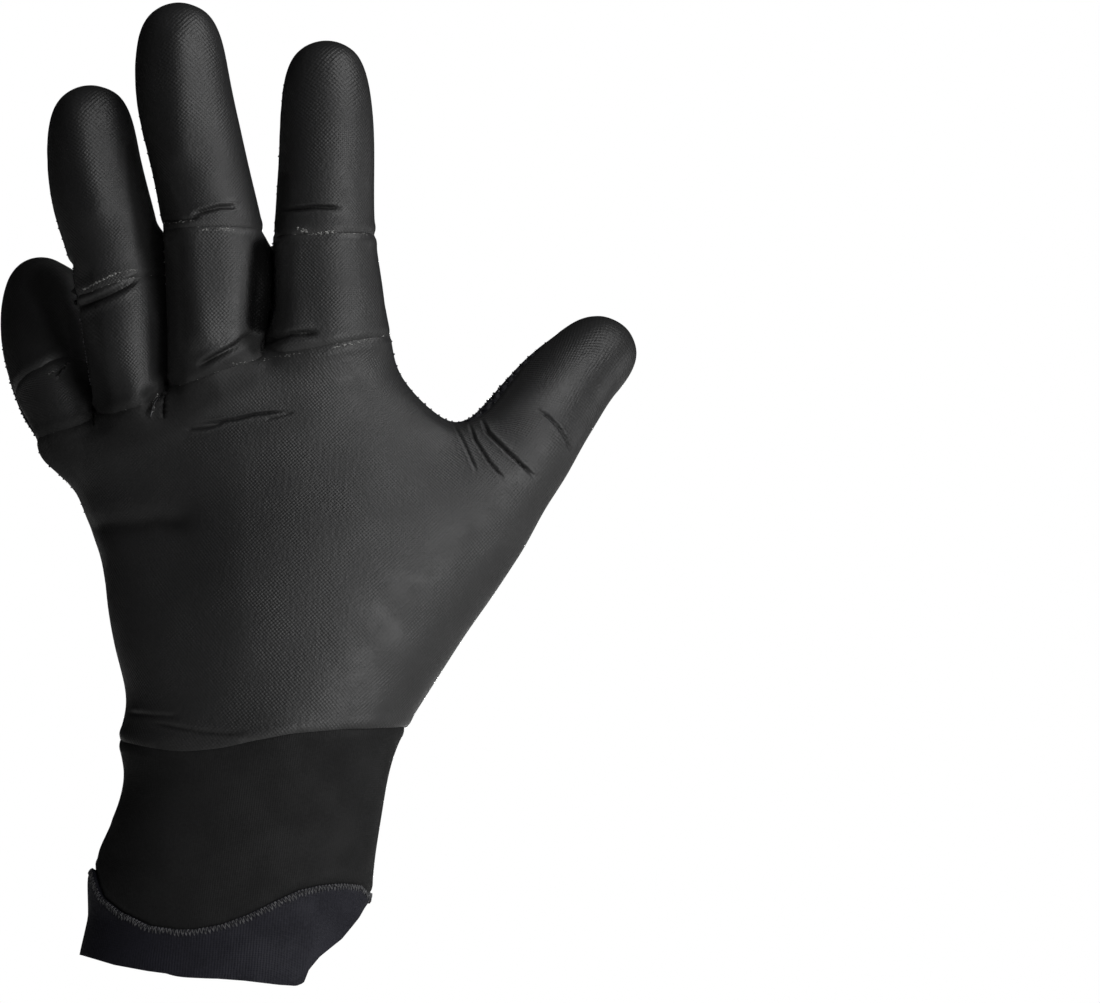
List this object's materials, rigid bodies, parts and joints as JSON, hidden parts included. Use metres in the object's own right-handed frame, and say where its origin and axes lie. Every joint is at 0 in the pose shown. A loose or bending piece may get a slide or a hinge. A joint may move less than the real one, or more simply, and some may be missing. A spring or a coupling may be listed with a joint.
{
  "type": "neoprene glove",
  "caption": "Left-hand neoprene water-sports glove in its worn shape: smooth back, textured grip palm, thin wrist cuff with a curved hem band.",
  "frame": {"origin": "middle of the wrist opening, level with its lowest rim", "axes": "+Z from the wrist opening up the fingers, +X to the thumb side, +Y out of the palm, so the back of the hand faces -Y"},
  "size_m": [0.1592, 0.0707, 0.2424],
  "materials": {
    "smooth_neoprene": "smooth-skin neoprene with a fine embossed mesh and a soft sheen",
    "grip_neoprene": "matte neoprene with a raised knit-like grip texture and small glossy specks",
    "cuff_jersey": "thin matte black jersey over neoprene",
    "hem_jersey": "matte very dark navy jersey band with a raw lower edge"
  },
  "bodies": {
    "root": {"back_panel": "smooth_neoprene", "palm_panel": "grip_neoprene", "little_lower_panel": "smooth_neoprene", "little_tip_panel": "smooth_neoprene", "ring_lower_panel": "smooth_neoprene", "ring_tip_panel": "smooth_neoprene", "middle_lower_panel": "smooth_neoprene", "middle_tip_panel": "smooth_neoprene", "index_lower_panel": "smooth_neoprene", "index_tip_panel": "smooth_neoprene", "cuff": "cuff_jersey", "hem_band": "hem_jersey"}
  },
  "joints": []
}
